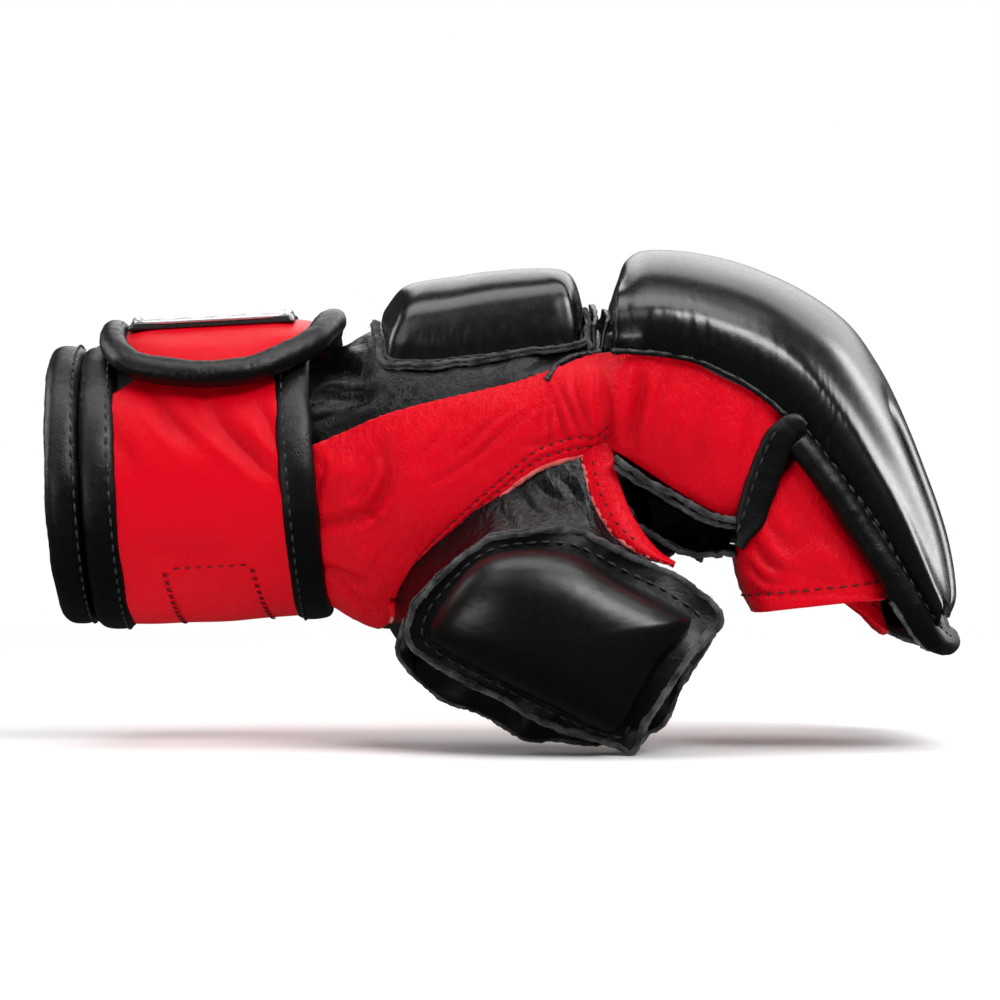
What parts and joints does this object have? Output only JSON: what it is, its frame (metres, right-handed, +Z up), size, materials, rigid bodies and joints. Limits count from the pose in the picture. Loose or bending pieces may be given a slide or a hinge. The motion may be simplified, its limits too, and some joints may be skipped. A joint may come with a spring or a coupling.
{
  "type": "mixed martial arts glove",
  "caption": "Open-palm sparring glove for the left hand, with a hinged knuckle pad, finger loops, a thumb stall and a padded wrist cuff closed by a hook-and-loop strap.",
  "frame": {"origin": "centre of the bottom of the whole glove's bounding box at rest", "axes": "+X from the wrist to the fingers, +Y from the thumb side to the little-finger side, +Z up through the back of the hand"},
  "size_m": [0.2328, 0.1284, 0.1262],
  "materials": {
    "red_leather": "satin",
    "black_leather": "satin",
    "lining_fabric": "matte",
    "hook_and_loop": "matte",
    "foam": "matte",
    "badge_vinyl": "gloss"
  },
  "bodies": {
    "hand_body": {"wrist_cuff": "black_leather", "cuff_lining": "lining_fabric", "cuff_edge_binding": "black_leather", "wrist_strap": "red_leather", "strap_binding_front": "black_leather", "strap_binding_rear": "black_leather", "loop_panel": "hook_and_loop", "back_shell": "black_leather", "index_side_panel": "red_leather", "thumb_web": "red_leather", "palm_panel": "black_leather", "little_side_panel": "red_leather", "thumb_gusset": "black_leather", "hand_lining": "lining_fabric", "back_pad_cover": "black_leather", "back_pad_foam": "foam", "back_pad_flange": "black_leather", "flex_gusset": "black_leather"},
    "knuckle_body": {"knuckle_pad_cover": "black_leather", "knuckle_pad_lining": "lining_fabric", "knuckle_foam_base": "foam", "knuckle_foam_top": "foam", "knuckle_piping": "black_leather", "finger_sleeve_index": "red_leather", "finger_sleeve_middle": "red_leather", "finger_sleeve_ring": "red_leather", "finger_sleeve_little": "red_leather", "sleeve_hem_index": "red_leather", "sleeve_hem_middle": "red_leather", "sleeve_hem_ring": "red_leather", "sleeve_hem_little": "red_leather", "index_finger_panel": "red_leather", "index_panel_binding": "black_leather", "little_finger_panel": "red_leather", "little_panel_binding": "black_leather", "palm_bar": "black_leather"},
    "thumb_body": {"thumb_stall": "black_leather", "thumb_pad_cover": "black_leather", "thumb_pad_foam": "foam", "thumb_pad_flange": "black_leather", "thumb_back_panel": "black_leather"},
    "tab_body": {"tab_panel": "red_leather", "hook_panel": "hook_and_loop", "tab_binding": "black_leather", "tab_badge": "badge_vinyl"}
  },
  "joints": [
    {"name": "knuckle_flex", "type": "hinge", "parent": "hand_body", "child": "knuckle_body", "pos_m": [0.02541, 0.0098, 0.0998], "axis": [0, 1, 0], "range_deg": [-18, 5]},
    {"name": "thumb_swing", "type": "hinge", "parent": "hand_body", "child": "thumb_body", "pos_m": [-0.00259, -0.0342, 0.0478], "axis": [-0.7384, 0, -0.6744], "range_deg": [-3, 25]},
    {"name": "tab_open", "type": "hinge", "parent": "hand_body", "child": "tab_body", "pos_m": [-0.07865, 0.03017, 0.10626], "axis": [-0.9986, 0, -0.0523], "range_deg": [0, 120]}
  ]
}
